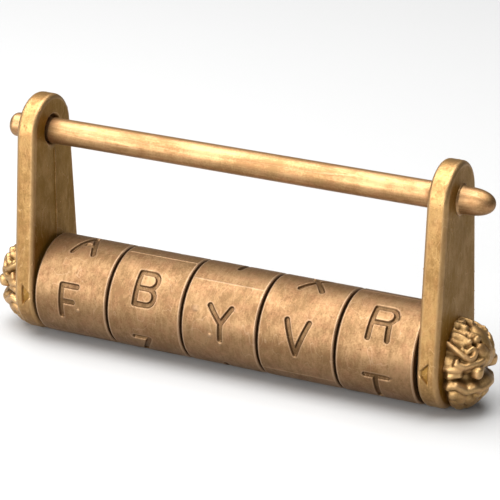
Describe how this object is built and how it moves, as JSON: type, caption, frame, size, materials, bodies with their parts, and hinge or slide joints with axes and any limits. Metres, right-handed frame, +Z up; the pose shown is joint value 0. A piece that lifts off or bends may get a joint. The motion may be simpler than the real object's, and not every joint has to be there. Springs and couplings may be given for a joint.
{
  "type": "combination padlock",
  "caption": "Antique-style puzzle padlock: engraved letter rings turn on a slotted tube between two arms with beast heads, closed by a straight bar.",
  "frame": {"origin": "middle of the shackle bar between the arms, on the bar's axis", "axes": "+X along the bar and the drum of letter rings, towards the bullet cap; +Z up from the drum to the bar; -Y is the front, where the index arrows are"},
  "size_m": [0.0864, 0.016, 0.0399],
  "materials": {
    "arm_brass": "antique brass casting, satin, brown patina on the flat faces",
    "head_brass": "antique brass casting, dark patina in the hollows and rubbed bright ridges",
    "ring_brass": "antique bronze plating on a casting, brushed along the drum, satin",
    "ward_brass": "plain cast, unpolished",
    "core_brass": "turned, lightly greased",
    "bar_brass": "turned and brushed along its length, satin",
    "screw_steel": "plain zinc-plated screw",
    "clip_steel": "blued spring steel"
  },
  "bodies": {
    "shackle": {"shackle_bar": "bar_brass", "bar_cap": "bar_brass", "right_arm": "arm_brass", "right_beast_head": "head_brass", "right_arm_screw": "screw_steel", "toothed_stem": "core_brass"},
    "lock_body": {"left_arm": "arm_brass", "left_beast_head": "head_brass", "left_arm_screw": "screw_steel", "core_tube": "core_brass", "retaining_clip": "clip_steel"},
    "dial_1": {"letter_ring_1": "ring_brass", "ward_ring_1": "ward_brass"},
    "dial_2": {"letter_ring_2": "ring_brass", "ward_ring_2": "ward_brass"},
    "dial_3": {"letter_ring_3": "ring_brass", "ward_ring_3": "ward_brass"},
    "dial_4": {"letter_ring_4": "ring_brass", "ward_ring_4": "ward_brass"},
    "dial_5": {"letter_ring_5": "ring_brass", "ward_ring_5": "ward_brass"}
  },
  "joints": [
    {"name": "body_slide", "type": "slide", "parent": "shackle", "child": "lock_body", "axis": [-1, 0, 0], "range_m": [0, 0.066]},
    {"name": "dial_1_turn", "type": "hinge", "parent": "lock_body", "child": "dial_1", "pos_m": [-0.0266, 0, -0.026], "axis": [-1, 0, 0], "continuous": true},
    {"name": "dial_2_turn", "type": "hinge", "parent": "lock_body", "child": "dial_2", "pos_m": [-0.0133, 0, -0.026], "axis": [-1, 0, 0], "continuous": true},
    {"name": "dial_3_turn", "type": "hinge", "parent": "lock_body", "child": "dial_3", "pos_m": [0, 0, -0.026], "axis": [-1, 0, 0], "continuous": true},
    {"name": "dial_4_turn", "type": "hinge", "parent": "lock_body", "child": "dial_4", "pos_m": [0.0133, 0, -0.026], "axis": [-1, 0, 0], "continuous": true},
    {"name": "dial_5_turn", "type": "hinge", "parent": "lock_body", "child": "dial_5", "pos_m": [0.0266, 0, -0.026], "axis": [-1, 0, 0], "continuous": true}
  ]
}
